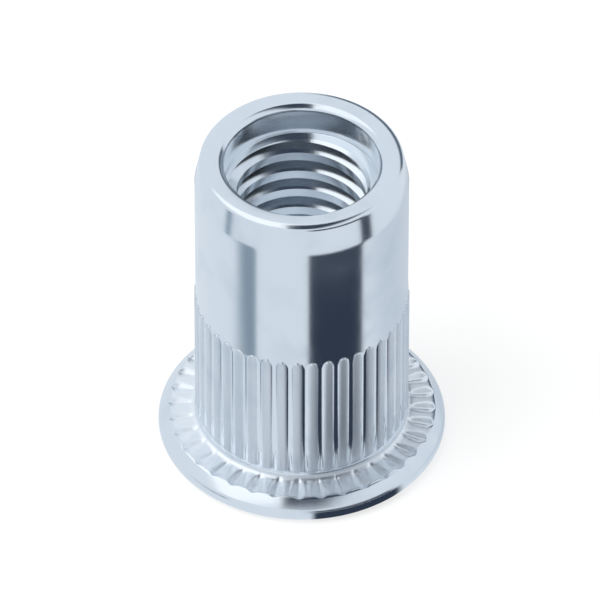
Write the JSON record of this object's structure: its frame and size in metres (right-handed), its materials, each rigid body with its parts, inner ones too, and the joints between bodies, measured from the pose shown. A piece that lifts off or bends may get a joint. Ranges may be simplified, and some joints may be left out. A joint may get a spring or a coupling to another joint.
{
  "type": "rivet nut",
  "caption": "Open-end threaded rivet nut with a flat serrated flange, a straight-knurled shank and a tapered threaded end.",
  "frame": {"origin": "centre of the flange's outer face", "axes": "+Z along the bore, from the flange's outer face to the threaded end; X and Y lie in the flange's plane, and the picture is seen from -Y"},
  "size_m": [0.0148, 0.0148, 0.0185],
  "materials": {
    "zinc_plated_steel": "bright zinc plating, smooth and slightly blue"
  },
  "bodies": {
    "root": {"rivet_nut": "zinc_plated_steel"}
  },
  "joints": []
}
